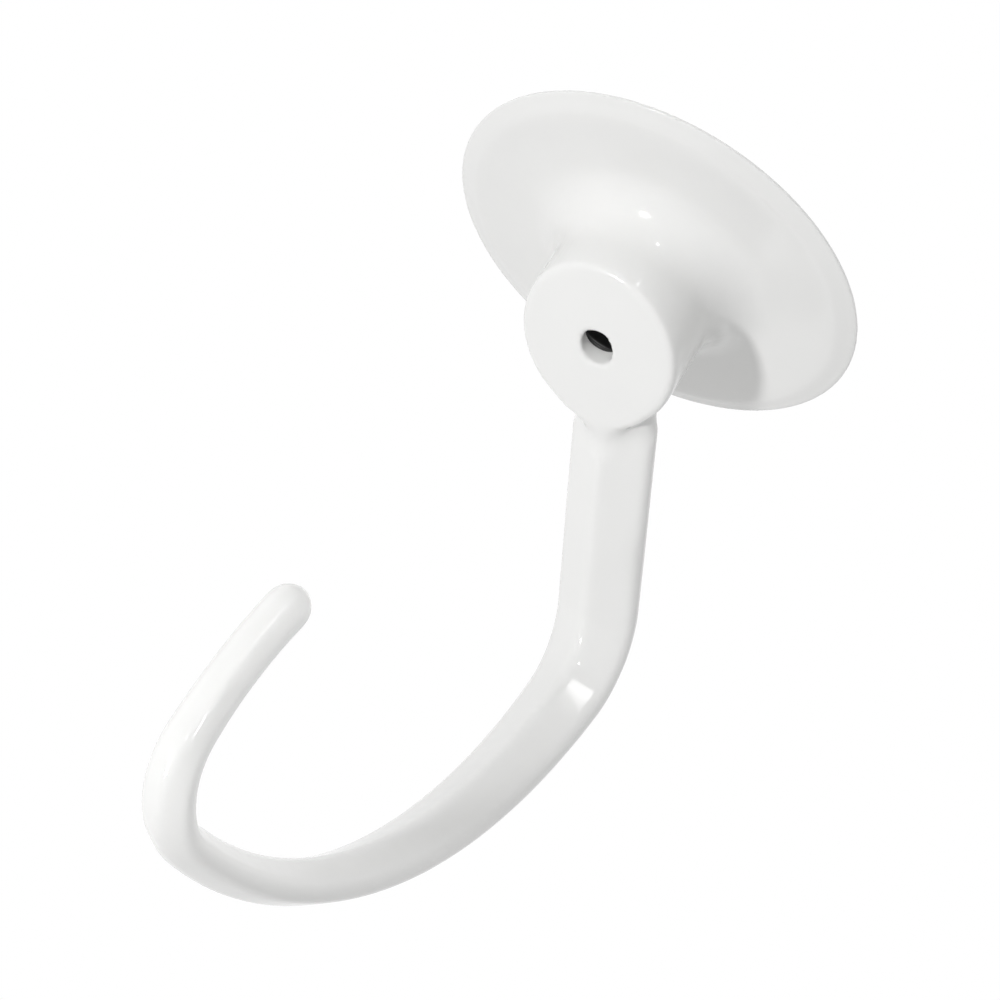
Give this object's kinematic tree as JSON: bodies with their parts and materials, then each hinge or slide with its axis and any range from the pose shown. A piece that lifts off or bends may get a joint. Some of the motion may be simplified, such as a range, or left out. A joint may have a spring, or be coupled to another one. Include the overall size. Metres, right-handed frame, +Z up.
{
  "type": "stand mixer dough hook",
  "caption": "White coated cast dough hook for a stand mixer: splash disc with a bayonet shaft socket, sloping-ended hub and a tapering, faceted C-shaped arm.",
  "frame": {"origin": "centre of the shaft socket's mouth, on the collar's top", "axes": "+Z up out of the socket along the mixer's shaft; the arm lies in the plane Y = 0 and bows towards +X, with its tip on the -X side"},
  "size_m": [0.1116, 0.084, 0.1595],
  "materials": {
    "white_coating": "gloss white coating over cast aluminium"
  },
  "bodies": {
    "root": {"dough_hook": "white_coating"}
  },
  "joints": []
}
